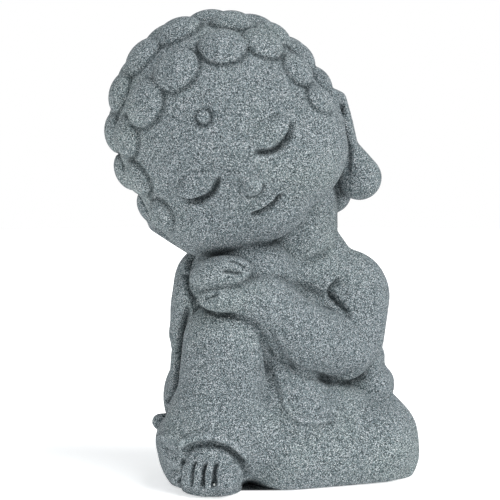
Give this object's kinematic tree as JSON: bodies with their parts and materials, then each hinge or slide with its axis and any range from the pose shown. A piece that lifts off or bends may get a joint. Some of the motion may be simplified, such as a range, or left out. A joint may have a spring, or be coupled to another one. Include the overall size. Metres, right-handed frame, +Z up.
{
  "type": "baby buddha statue",
  "caption": "Small figure of a sleeping child buddha seated with its tilted head resting on its hands and raised knee, cast whole in grey sandstone mix, with a flat underside.",
  "frame": {"origin": "on the ground plane, under the middle of the figure's bounding box", "axes": "+Z up, -Y the way the figure faces, +X towards the figure's left"},
  "size_m": [0.101, 0.082, 0.1497],
  "materials": {
    "sandstone": "matte, fine-grained cast sandstone with light and dark specks"
  },
  "bodies": {
    "root": {"seated_figure": "sandstone"}
  },
  "joints": []
}
